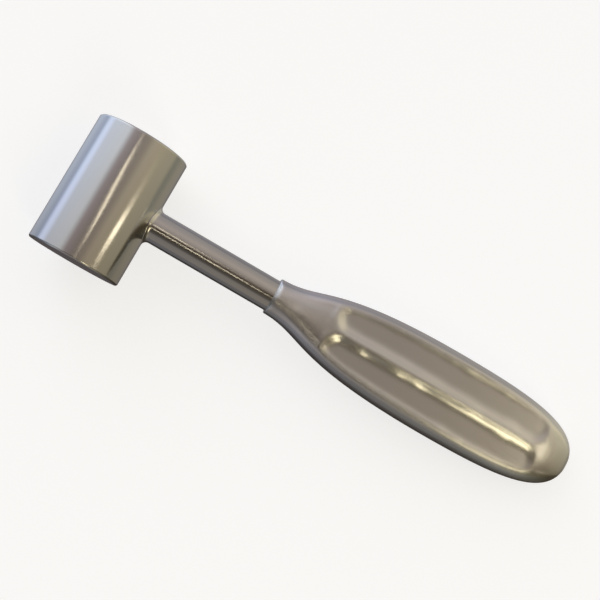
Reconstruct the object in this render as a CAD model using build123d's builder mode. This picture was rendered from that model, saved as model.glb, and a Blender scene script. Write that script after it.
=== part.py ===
from build123d import *

import os
from math import asin, atan2, cos, degrees, hypot, sin

# Surgical bone mallet: a solid steel head on a round shank, brazed into a hollow fluted handle.
# It lies as it comes to rest, on the side of its head and on the tail of its handle.
# X runs from the head to the tail, Y along the axis of the head, Z up. Millimetres.

# Head
head_diameter = 40.0
head_length = 56.4
head_edge_break = 0.5

# Shank, one turned bar with a spigot for the head and a tang for the handle
shank_diameter = 13.5
shank_length = 56.2
root_fillet = 2.2
spigot_diameter = 10.0
spigot_depth = 15.0
spigot_chamfer = 0.8
tang_depth = 12.0
tang_chamfer = 1.0
braze_gap = 0.06

# Handle outline, seen from above and from the side, as distances from its mouth
handle_length = 142.4
flare_length = 81.9
grip_width = 37.3
grip_thickness = 21.0
mouth_pull = 19.7
grip_pull = 63.4
tail_pull = 35.2
tip_width_pull = 17.1
tip_thickness_pull = 8.0
mouth_squareness = 0.5
grip_squareness = 0.9
tip_squareness = 0.35
sheet = 1.1
mouth_edge_break = 0.25

# Flutes, two pressed side by side into each broad face
flute_width = 15.4
flute_floor = 7.0
flute_land = 0.8
flute_depth = 1.1
flute_start = 25.6
flute_end = 128.6

# Half sections as control points, in shares of half width and half thickness: side, edge, broad face to the crown
round_section = ((1, 0), (1, 0.357), (0.809, 0.688), (0.5, 0.866), (0.191, 1.045))
boxy_section = ((1, 0), (1, 0.357), (0.95, 0.66), (0.83, 0.95), (0.47, 1.017))

# How finely the hollow follows the outer form
flare_strips = 6
tail_strips = 6
hollow_end = 0.96

head_radius = head_diameter / 2
mouth_station = head_radius + shank_length
mouth_diameter = shank_diameter + 2 * braze_gap + 2 * sheet
flute_offset = (flute_width + flute_land) / 2
flute_wall_run = (flute_width - flute_floor) / 2
flute_wall_radius = (flute_wall_run**2 + flute_depth**2) / (2 * flute_depth)


def cubic(controls, t):
    """Value of a cubic curve with four control values."""
    a, b, c, d = controls
    return a * (1 - t) ** 3 + 3 * b * t * (1 - t) ** 2 + 3 * c * t**2 * (1 - t) + d * t**3


# Control values along the flare and along the tail: distance from the mouth, half width, half thickness, squareness
mouth_radius = mouth_diameter / 2
flare_rows = (
    (0, mouth_radius, mouth_radius, 0),
    (mouth_pull, mouth_radius, mouth_radius, mouth_squareness),
    (flare_length - grip_pull, grip_width / 2, grip_thickness / 2, grip_squareness),
    (flare_length, grip_width / 2, grip_thickness / 2, grip_squareness),
)
tail_rows = (
    (flare_length, grip_width / 2, grip_thickness / 2, grip_squareness),
    (flare_length + tail_pull, grip_width / 2, grip_thickness / 2, grip_squareness),
    (handle_length, tip_width_pull, tip_thickness_pull, tip_squareness),
    (handle_length, 0, 0, tip_squareness),
)


def along(rows, t):
    """Distance from the mouth, half width, half thickness and squareness at a share of the flare or the tail."""
    return [cubic(controls, t) for controls in zip(*rows)]


def crown_height(station):
    """Half thickness of the handle at a distance from its mouth."""
    rows = flare_rows if station <= flare_length else tail_rows
    low, high = 0.0, 1.0
    for _ in range(40):
        middle = (low + high) / 2
        if along(rows, middle)[0] < station:
            low = middle
        else:
            high = middle
    return along(rows, low)[2]


# The ground touches the head from below and the tail at one point, which sets the handle's slope
outline_steps = 200
tail_side = [along(tail_rows, step / outline_steps) for step in range(outline_steps + 1)]
tail_points = [(mouth_station + station, half) for station, _, half, _ in tail_side]
slope = min(asin(head_radius / hypot(x, z)) - atan2(z, x) for x, z in tail_points)
reach = max(x * cos(slope) + z * sin(slope) for x, z in tail_points)

# The handle's own frame: its axis meets the axis of the head, its middle plane slopes down to the tail
axis_frame = Plane(
    origin=((head_radius - reach) / 2, 0, head_radius),
    x_dir=(cos(slope), 0, -sin(slope)),
    z_dir=(sin(slope), 0, cos(slope)),
)
side_frame = Plane(axis_frame.origin, x_dir=axis_frame.x_dir, z_dir=-axis_frame.y_dir)
head_frame = Plane(axis_frame.origin, x_dir=(1, 0, 0), z_dir=(0, 1, 0))
handle_axis = Axis(axis_frame.origin, axis_frame.x_dir)


def cross_frame(distance):
    """Plane square to the handle's axis, at a distance from the axis of the head."""
    origin = axis_frame.from_local_coords((distance, 0, 0))
    return Plane(origin, x_dir=axis_frame.y_dir, z_dir=axis_frame.x_dir)


def half_section(half_width, half_thickness, squareness):
    """Control points over the upper half of a section, as side, broad face and other side."""
    right = []
    for (round_across, round_up), (boxy_across, boxy_up) in zip(round_section, boxy_section):
        across = round_across + (boxy_across - round_across) * squareness
        up = round_up + (boxy_up - round_up) * squareness
        right.append((across * half_width, up * half_thickness))
    left = [(-across, up) for across, up in reversed(right)]
    return right[:4], right[3:] + left[:2], left[1:]


def patches(rows):
    """The three faces that follow the rows of control values: side, broad face and other side."""
    nets = ([], [], [])
    for station, half_width, half_thickness, squareness in rows:
        for net, controls in zip(nets, half_section(half_width, half_thickness, squareness)):
            places = [(mouth_station + station, across, up) for across, up in controls]
            net.append([axis_frame.from_local_coords(place) for place in places])
    return [Face.make_bezier_surface(net) for net in nets]


def half_handle():
    """Upper half of the handle's outer form, solid."""
    with BuildSketch(cross_frame(mouth_station)) as mouth:
        with BuildLine():
            for controls in half_section(*flare_rows[0][1:]):
                Bezier(*controls)
            Line((-mouth_radius, 0), (mouth_radius, 0))
        make_face()
    with BuildSketch(axis_frame) as middle:
        with BuildLine():
            for side in (-1, 1):
                for rows in (flare_rows, tail_rows):
                    Bezier(*[(mouth_station + station, side * half_width) for station, half_width, _, _ in rows])
            Line((mouth_station, -mouth_radius), (mouth_station, mouth_radius))
        make_face()
    with BuildPart() as half:
        faces = [*patches(flare_rows), *patches(tail_rows), mouth.sketch.face(), middle.sketch.face()]
        add(Solid(Shell(faces)))
    return half.part


def half_hollow():
    """Upper half of the handle's hollow, in straight strips one sheet thickness inside the outer form."""
    sections = [along(flare_rows, step / flare_strips) for step in range(flare_strips)]
    sections += [along(tail_rows, hollow_end * step / tail_strips) for step in range(tail_strips + 1)]
    with BuildPart() as half:
        faces = []
        for station, half_width, half_thickness, squareness in sections:
            side, _, other_side = half_section(half_width - sheet, half_thickness - sheet, squareness)
            with BuildSketch(cross_frame(mouth_station + station)) as section:
                with BuildLine():
                    Polyline(side[0], side[-1], other_side[0], other_side[-1], close=True)
                make_face()
            faces.append(section.sketch.face())
        loft(sections=faces, ruled=True)
    return half.part


def flute_trough(across, first, last, inset=0.0):
    """Straight stretch of one flute from the first to the last station, with the arc that its floor follows."""
    corner = flute_floor / 2
    wall_radius = flute_wall_radius + inset
    edge = corner + wall_radius
    stations = (first, (first + last) / 2, last)
    trough_frame = Plane(
        axis_frame.from_local_coords((mouth_station, across, 0)),
        x_dir=side_frame.x_dir,
        z_dir=side_frame.z_dir,
    )
    with BuildPart() as trough:
        with BuildLine(trough_frame) as floor:
            arc = ThreePointArc(*[(station, crown_height(station) - flute_depth - inset) for station in stations])
        with BuildSketch(Plane(arc @ 0, x_dir=axis_frame.y_dir, z_dir=arc % 0)):
            with BuildLine():
                Line((-corner, 0), (corner, 0))
                CenterArc((corner, wall_radius), wall_radius, -90, 90)
                Line((edge, wall_radius), (-edge, wall_radius))
                CenterArc((-corner, wall_radius), wall_radius, 180, 90)
            make_face()
        revolve(axis=Axis(arc.arc_center, axis_frame.y_dir), revolution_arc=degrees(arc.length / arc.radius))
    return trough.part, arc


def flute_cutter(across):
    """Trough of one flute with its two round ends."""
    corner = flute_floor / 2
    trough, arc = flute_trough(across, flute_start + flute_width / 2, flute_end - flute_width / 2)
    with BuildPart() as cutter:
        add(trough)
        for end in (0, 1):
            with BuildSketch(Plane(arc @ end, x_dir=axis_frame.y_dir, z_dir=arc % end)):
                with BuildLine():
                    Polyline((0, flute_wall_radius), (0, 0), (corner, 0))
                    CenterArc((corner, flute_wall_radius), flute_wall_radius, -90, 90)
                    Line((corner + flute_wall_radius, flute_wall_radius), (0, flute_wall_radius))
                make_face()
            revolve(axis=Axis(arc @ end, (arc % end).cross(axis_frame.y_dir)))
    return cutter.part


# Head: a plain turned cylinder with a blind bore for the shank's spigot
with BuildPart() as head:
    with BuildSketch(head_frame):
        Circle(head_radius)
    extrude(amount=head_length / 2, both=True)
    chamfer(head.edges().filter_by(GeomType.CIRCLE), head_edge_break)
    with BuildSketch(cross_frame(head_radius - spigot_depth - braze_gap)):
        Circle(spigot_diameter / 2 + braze_gap)
    extrude(amount=head_diameter, mode=Mode.SUBTRACT)

# Shank: its foot is saddled to the head and blended into it, its tang runs into the handle
with BuildPart() as shank:
    with BuildSketch(head_frame):
        Circle(head_radius)
    extrude(amount=head_length / 2, both=True)
    with BuildSketch(cross_frame(0)):
        Circle(shank_diameter / 2)
    extrude(amount=mouth_station + tang_depth)
    chamfer(shank.edges().sort_by(handle_axis)[-1], tang_chamfer)
    saddle = shank.edges().filter_by(GeomType.BSPLINE)
    fillet(saddle, root_fillet)
    with BuildSketch(head_frame):
        Circle(head_radius)
    extrude(amount=head_length / 2, both=True, mode=Mode.SUBTRACT)
    with BuildSketch(cross_frame(head_radius - spigot_depth)):
        Circle(spigot_diameter / 2)
    extrude(amount=spigot_depth + root_fillet)
    chamfer(shank.edges().sort_by(handle_axis)[0], spigot_chamfer)

# Handle: two pressed sheet halves, welded along the middle plane
with BuildPart() as hollow:
    add(half_hollow())
    for side in (-1, 1):
        ridge, _ = flute_trough(side * flute_offset, flute_start - sheet, flute_end + sheet, sheet)
        add(ridge, mode=Mode.SUBTRACT)
    with BuildSketch(cross_frame(mouth_station)):
        Circle(shank_diameter / 2 + braze_gap)
    extrude(amount=tang_depth + braze_gap)

with BuildPart() as handle_upper_half:
    add(half_handle())
    for side in (-1, 1):
        add(flute_cutter(side * flute_offset), mode=Mode.SUBTRACT)
    add(hollow.part, mode=Mode.SUBTRACT)
    with BuildSketch(side_frame):
        with BuildLine():
            outside = mouth_radius + sheet
            Polyline(
                (mouth_station, mouth_radius - mouth_edge_break),
                (mouth_station, outside),
                (mouth_station + mouth_edge_break + sheet, outside),
                close=True,
            )
        make_face()
    revolve(axis=handle_axis, mode=Mode.SUBTRACT)

with BuildPart() as handle_lower_half:
    mirror(handle_upper_half.part, about=axis_frame)

os.makedirs("parts", exist_ok=True)
for name, piece in (
    ("head", head),
    ("shank", shank),
    ("handle_upper_half", handle_upper_half),
    ("handle_lower_half", handle_lower_half),
):
    piece.part.label = name
    export_step(piece.part, f"parts/{name}.step")
print(f"slope {degrees(slope):.2f} degrees, reach {reach + head_radius:.1f} mm")
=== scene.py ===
# %% [markdown]
# This lesson dresses a surgical mallet in steel. The mallet is four pieces that come finished in shape from
# the construction model: a turned head, a round shank and the two pressed halves of a hollow handle.
# The frame is loaded first.

# %% Load the frame
import bpy
import math
from mathutils import Matrix, Vector


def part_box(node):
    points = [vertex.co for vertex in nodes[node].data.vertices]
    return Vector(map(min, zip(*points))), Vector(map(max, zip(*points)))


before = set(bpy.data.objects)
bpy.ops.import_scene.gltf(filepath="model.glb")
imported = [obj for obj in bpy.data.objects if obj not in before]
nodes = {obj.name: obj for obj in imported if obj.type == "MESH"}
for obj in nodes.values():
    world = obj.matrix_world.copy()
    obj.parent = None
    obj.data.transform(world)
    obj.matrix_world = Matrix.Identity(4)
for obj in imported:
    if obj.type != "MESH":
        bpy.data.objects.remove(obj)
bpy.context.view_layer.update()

# %% [markdown]
# The mallet lies on its side with the handle's tail touching the table, so the handle slopes a little.
# The head's centre is the middle of its box. The handle's seam and the camera are placed from it.

# %% Find the head
head_low, head_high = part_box("head")
head_centre = (head_low + head_high) / 2
print("head centre:", tuple(round(value, 4) for value in head_centre))

# %% [markdown]
# The two halves of the handle meet in a plane through the head's centre, which slopes as the handle does.
# The finish has to leave that seam alone, so the plane is written down as a direction square to it and a
# distance.

# %% Find the seam
handle_slope = math.radians(3.15)
seam_normal = Vector((math.sin(handle_slope), 0, math.cos(handle_slope)))
seam_distance = seam_normal.dot(head_centre)
print("seam plane is", round(seam_distance, 4), "m from the origin along", seam_normal)

# %% [markdown]
# A material is a tree of nodes, and most nodes are made in the same way: pick the kind, set its options and
# its plain values, and feed the other sockets from nodes that are there already. A helper keeps the recipes
# short.

# %% A helper for nodes
def add_node(tree, kind, options=None, values=None, feeds=None):
    """New node of a kind, with options set, plain values in some sockets and outputs led into others."""
    node = tree.nodes.new(kind)
    for option, value in (options or {}).items():
        setattr(node, option, value)
    for socket, value in (values or {}).items():
        node.inputs[socket].default_value = value
    for socket, output in (feeds or {}).items():
        tree.links.new(output, node.inputs[socket])
    return node


print("ready:", add_node.__name__)

# %% [markdown]
# On the real handle every fold is rounded over by hand polishing. More geometry could do that, but the
# folds are shallow, so the shader bends the normals instead. A bevel node does it within a radius. Near the
# seam the radius shrinks to almost nothing, because a welded and dressed seam shows no groove.

# %% Rounded folds
seam_margin = 0.0035
full_softness_height = 0.0065
seam_radius = 0.0001
bevel_samples = 8


def rounded_normals(tree, place, fold_radius):
    """Normals bent over the folds within fold_radius, except close to the seam."""
    along_normal = add_node(
        tree, "ShaderNodeVectorMath", {"operation": "DOT_PRODUCT"}, {1: seam_normal}, {0: place}
    )
    from_seam = add_node(
        tree, "ShaderNodeMath", {"operation": "SUBTRACT"},
        values={1: seam_distance},
        feeds={0: along_normal.outputs["Value"]},
    )
    height = add_node(
        tree, "ShaderNodeMath", {"operation": "ABSOLUTE"},
        feeds={0: from_seam.outputs["Value"]},
    )
    radius_range = {
        "From Min": seam_margin,
        "From Max": full_softness_height,
        "To Min": seam_radius,
        "To Max": fold_radius,
    }
    radius = add_node(
        tree, "ShaderNodeMapRange", values=radius_range, feeds={"Value": height.outputs["Value"]}
    )
    bevel = add_node(
        tree, "ShaderNodeBevel", {"samples": bevel_samples}, feeds={"Radius": radius.outputs["Result"]}
    )
    return bevel.outputs["Normal"]


print("folds are rounded in full from", full_softness_height * 1000, "mm beside the seam")

# %% [markdown]
# Satin steel is a metal whose polish has a direction. Its lines are noise stretched along the way the belt
# or the lathe ran, so the noise changes fast across the lines and slowly along them. A second, slow noise is
# the unevenness of a hand polish. Both lift the surface by micrometres. The lines also vary the gloss, and
# the waves vary the tone.

# %% Satin steel
line_detail = 3.0
waves_per_metre = 45
wave_detail = 2.0
darkest_tone = 0.94
gloss_spread = 0.15


def satin_steel(name, tint, roughness, lines_per_metre, line_depth, wave_depth, fold_radius):
    """Satin steel with lines_per_metre along x, y and z, and its depths and its fold radius in metres."""
    material = bpy.data.materials.new(name)
    material.use_nodes = True
    tree = material.node_tree
    shader = tree.nodes["Principled BSDF"]
    shader.inputs["Metallic"].default_value = 1.0
    place = add_node(tree, "ShaderNodeTexCoord").outputs["Object"]
    stretched = add_node(
        tree, "ShaderNodeMapping",
        values={"Scale": lines_per_metre},
        feeds={"Vector": place},
    )
    lines = add_node(
        tree, "ShaderNodeTexNoise",
        values={"Scale": 1.0, "Detail": line_detail},
        feeds={"Vector": stretched.outputs["Vector"]},
    ).outputs["Fac"]
    waves = add_node(
        tree, "ShaderNodeTexNoise",
        values={"Scale": waves_per_metre, "Detail": wave_detail},
        feeds={"Vector": place},
    ).outputs["Fac"]
    dark_tint = [value * darkest_tone for value in tint]
    tone = add_node(
        tree, "ShaderNodeMix", {"data_type": "RGBA"},
        values={"A": (*dark_tint, 1), "B": (*tint, 1)},
        feeds={"Factor": waves},
    )
    gloss = add_node(
        tree, "ShaderNodeMapRange",
        values={"To Min": roughness * (1 - gloss_spread), "To Max": roughness * (1 + gloss_spread)},
        feeds={"Value": lines},
    )
    wavy = add_node(
        tree, "ShaderNodeBump",
        values={"Distance": wave_depth},
        feeds={"Height": waves, "Normal": rounded_normals(tree, place, fold_radius)},
    )
    lined = add_node(
        tree, "ShaderNodeBump",
        values={"Distance": line_depth},
        feeds={"Height": lines, "Normal": wavy.outputs["Normal"]},
    )
    tree.links.new(tone.outputs["Result"], shader.inputs["Base Color"])
    tree.links.new(gloss.outputs["Result"], shader.inputs["Roughness"])
    tree.links.new(lined.outputs["Normal"], shader.inputs["Normal"])
    return material


print("satin steel has", waves_per_metre, "waves per metre")

# %% [markdown]
# The head was turned on a lathe, so its lines run round the axis y, and the shank's run round x. The handle
# was polished lengthways. It is a little lighter and less glossy, and its folds are rounded over the most.
# The four pieces keep their shapes: a material is put in the material slot of each.

# %% Steel on the four pieces
bar_tint = (0.62, 0.605, 0.58)
sheet_tint = (0.72, 0.705, 0.68)
turned_round_y = (150, 5000, 150)
turned_round_x = (5000, 150, 150)
polished_along_x = (150, 4000, 4000)
bar_fold = 0.0006
sheet_fold = 0.0035

head_steel = satin_steel("head_steel", bar_tint, 0.14, turned_round_y, 4e-6, 3e-5, bar_fold)
shank_steel = satin_steel("shank_steel", bar_tint, 0.17, turned_round_x, 3e-6, 3e-5, bar_fold)
handle_steel = satin_steel("handle_steel", sheet_tint, 0.25, polished_along_x, 4e-6, 1.6e-5, sheet_fold)

finishes = {
    "head": head_steel,
    "shank": shank_steel,
    "handle_upper_half": handle_steel,
    "handle_lower_half": handle_steel,
}
for name, finish in finishes.items():
    node = nodes[name]
    node.data.materials.clear()
    node.data.materials.append(finish)
    print(name, "wears", finish.name)

# %% [markdown]
# The table is a plain pale sheet, wide enough to fill the picture from any side. It glows a little, so that
# it stays pale while the light is kept low for the steel. The steel doesn't mirror it, and shows the colour
# that the room has below the table instead.

# %% Table
table_width = 12
table_grey = 0.45
table_glow = 0.72
table_roughness = 0.9

bpy.ops.object.select_all(action="DESELECT")
bpy.ops.mesh.primitive_plane_add(size=table_width, location=(0, 0, 0))
table = bpy.context.object
table.name = "table"
pale = bpy.data.materials.new("pale_table")
pale.use_nodes = True
pale_shader = pale.node_tree.nodes["Principled BSDF"]
pale_shader.inputs["Base Color"].default_value = (table_grey, table_grey, table_grey, 1)
pale_shader.inputs["Emission Color"].default_value = (1, 1, 1, 1)
pale_shader.inputs["Emission Strength"].default_value = table_glow
pale_shader.inputs["Roughness"].default_value = table_roughness
pale_shader.inputs["Specular IOR Level"].default_value = 0.0
table.data.materials.append(pale)
table.visible_glossy = False
print("table is", table_width, "m wide")

# %% [markdown]
# The picture is taken from above, about half a metre over the head, by a hand-held camera that is turned so
# that the handle runs down to the right. The camera's place is measured from the head's centre, and its turn
# is an axis whose length is the angle. A camera's own axes are its right, its up and its back.

# %% Camera
camera_from_head = Vector((0.0636, -0.0486, 0.4738))
camera_turn = Vector((-0.0949, -0.0755, 0.5184))
focal_pixels = 1179.46
picture_pixels = 600
sensor_width = 36.0

looking_down = Matrix(((1, 0, 0), (0, -1, 0), (0, 0, -1)))
right, down, forward = Matrix.Rotation(camera_turn.length, 3, camera_turn) @ looking_down
camera_axes = Matrix((right, -down, -forward)).transposed()

camera_data = bpy.data.cameras.new("camera")
camera_data.sensor_width = sensor_width
camera_data.lens = focal_pixels / picture_pixels * sensor_width
camera = bpy.data.objects.new("camera", camera_data)
bpy.context.scene.collection.objects.link(camera)
camera.matrix_world = Matrix.Translation(head_centre + camera_from_head) @ camera_axes.to_4x4()
bpy.context.scene.camera = camera
print("camera at", tuple(round(value, 3) for value in camera.location), "lens", round(camera_data.lens, 1))

# %% [markdown]
# Steel shows its room. Walls could be modelled, but a world whose colour depends on the direction does the
# same and is easier to tune. A direction has parts x, y and z between -1 and 1. Each part picks a colour from
# a ramp, and the three colours are multiplied.

# %% Two helpers for the room
def colour_ramp(tree, value, stops):
    """Colour by value, from a list of places between -1 and 1 with their colours."""
    share = add_node(tree, "ShaderNodeMapRange", values={"From Min": -1.0}, feeds={"Value": value})
    ramp = add_node(tree, "ShaderNodeValToRGB", feeds={"Fac": share.outputs["Result"]})
    elements = ramp.color_ramp.elements
    for number, (place, colour) in enumerate(stops):
        position = (place + 1) / 2
        element = elements[number] if number < 2 else elements.new(position)
        element.position = position
        element.color = (*colour, 1)
    return ramp.outputs["Color"]


def multiplied(tree, first, second):
    """Product of two colours."""
    blend = {"data_type": "RGBA", "blend_type": "MULTIPLY"}
    product = add_node(tree, "ShaderNodeMix", blend, {"Factor": 1.0}, {"A": first, "B": second})
    return product.outputs["Result"]


print("ready:", colour_ramp.__name__, "and", multiplied.__name__)

# %% [markdown]
# The room is cool and bright on the left, brown overhead and tan on the right. Its front is dark, its back
# is pale, and it is dimmer below the table, where the round sides of the steel look.

# %% Room
room_strength = 2.0
left_to_right = [
    (-1.0, (0.86, 0.96, 1.27)),
    (-0.96, (0.66, 0.69, 0.78)),
    (-0.55, (0.68, 0.69, 0.72)),
    (-0.36, (0.34, 0.29, 0.29)),
    (0.0, (0.24, 0.20, 0.18)),
    (0.33, (0.30, 0.25, 0.20)),
    (0.50, (0.41, 0.345, 0.26)),
    (0.80, (0.40, 0.34, 0.235)),
    (1.0, (0.36, 0.315, 0.225)),
]
front_to_back = [
    (-1.0, (0.55, 0.60, 0.62)),
    (-0.82, (0.50, 0.55, 0.58)),
    (-0.72, (0.20, 0.22, 0.22)),
    (-0.40, (0.11, 0.10, 0.09)),
    (-0.12, (0.15, 0.14, 0.12)),
    (0.03, (0.48, 0.48, 0.48)),
    (0.34, (0.85, 0.92, 0.98)),
    (0.66, (1.08, 1.14, 1.18)),
    (1.0, (0.85, 0.95, 1.05)),
]
below_to_above = [
    (-1.0, (0.62, 0.66, 0.74)),
    (-0.6, (0.74, 0.78, 0.86)),
    (-0.25, (0.60, 0.65, 0.74)),
    (-0.05, (1.0, 1.0, 1.0)),
    (1.0, (1.0, 1.0, 1.0)),
]

world = bpy.data.worlds.new("room")
world.use_nodes = True
bpy.context.scene.world = world
room_tree = world.node_tree
background = room_tree.nodes["Background"]
direction = add_node(room_tree, "ShaderNodeTexCoord").outputs["Generated"]
parts = add_node(room_tree, "ShaderNodeSeparateXYZ", feeds={"Vector": direction}).outputs
side_colour = colour_ramp(room_tree, parts["X"], left_to_right)
depth_colour = colour_ramp(room_tree, parts["Y"], front_to_back)
height_colour = colour_ramp(room_tree, parts["Z"], below_to_above)
wall_colour = multiplied(room_tree, side_colour, depth_colour)
room_tree.links.new(multiplied(room_tree, wall_colour, height_colour), background.inputs["Color"])
background.inputs["Strength"].default_value = room_strength
print("room has", len(left_to_right) + len(front_to_back) + len(below_to_above), "colour stops")

# %% [markdown]
# The narrow bright lines on head, shank and handle are reflections of lamps. A lamp that hangs close is seen
# by one piece and missed by the next, so the head has two thin lamps of its own and the shank has one. A
# broad amber window lies over the handle's tail and to the front. A lamp's power is its glow times its area
# and pi.

# %% Lamps
warm = (1.0, 0.9, 0.68)
amber = (1.0, 0.90, 0.60)
hung_lamps = {
    "lamp_over_head": {"lean": (-8.4, 6), "distance": 0.5, "size": (0.019, 0.11), "glow": 2.4},
    "lamp_beside_head": {"lean": (47.6, 6), "distance": 0.52, "size": (0.022, 0.11), "glow": 3.6},
    "lamp_over_shank": {"lean": (-0.8, -18), "distance": 0.7, "size": (0.13, 0.022), "glow": 4.0},
    "window_over_handle": {"lean": (36, -34), "distance": 2.4, "size": (0.55, 1.2), "glow": 3.2},
}
lamp_colours = {"window_over_handle": amber}


def hang_lamp(name, lean, distance, size, glow, colour):
    """Rectangular lamp that leans from the vertical by degrees towards x and y, and faces the mallet."""
    data = bpy.data.lights.new(name, "AREA")
    data.shape = "RECTANGLE"
    data.size, data.size_y = size
    data.energy = glow * math.pi * data.size * data.size_y
    data.color = colour
    light = bpy.data.objects.new(name, data)
    bpy.context.scene.collection.objects.link(light)
    lean_x, lean_y = [math.tan(math.radians(degrees)) for degrees in lean]
    towards_lamp = Vector((lean_x, lean_y, 1)).normalized()
    light.location = towards_lamp * distance
    light.rotation_euler = (-towards_lamp).to_track_quat("-Z", "Y").to_euler()
    light.visible_camera = False
    return light


for name, plan in hung_lamps.items():
    light = hang_lamp(name, **plan, colour=lamp_colours.get(name, warm))
    print(name, "hangs at", tuple(round(value, 3) for value in light.location))

# %% [markdown]
# The standard view shows colours as they are, where a film-like one would grey the pale table. Then the
# lesson hands over.

# %% Hand over
bpy.context.scene.view_settings.view_transform = "Standard"
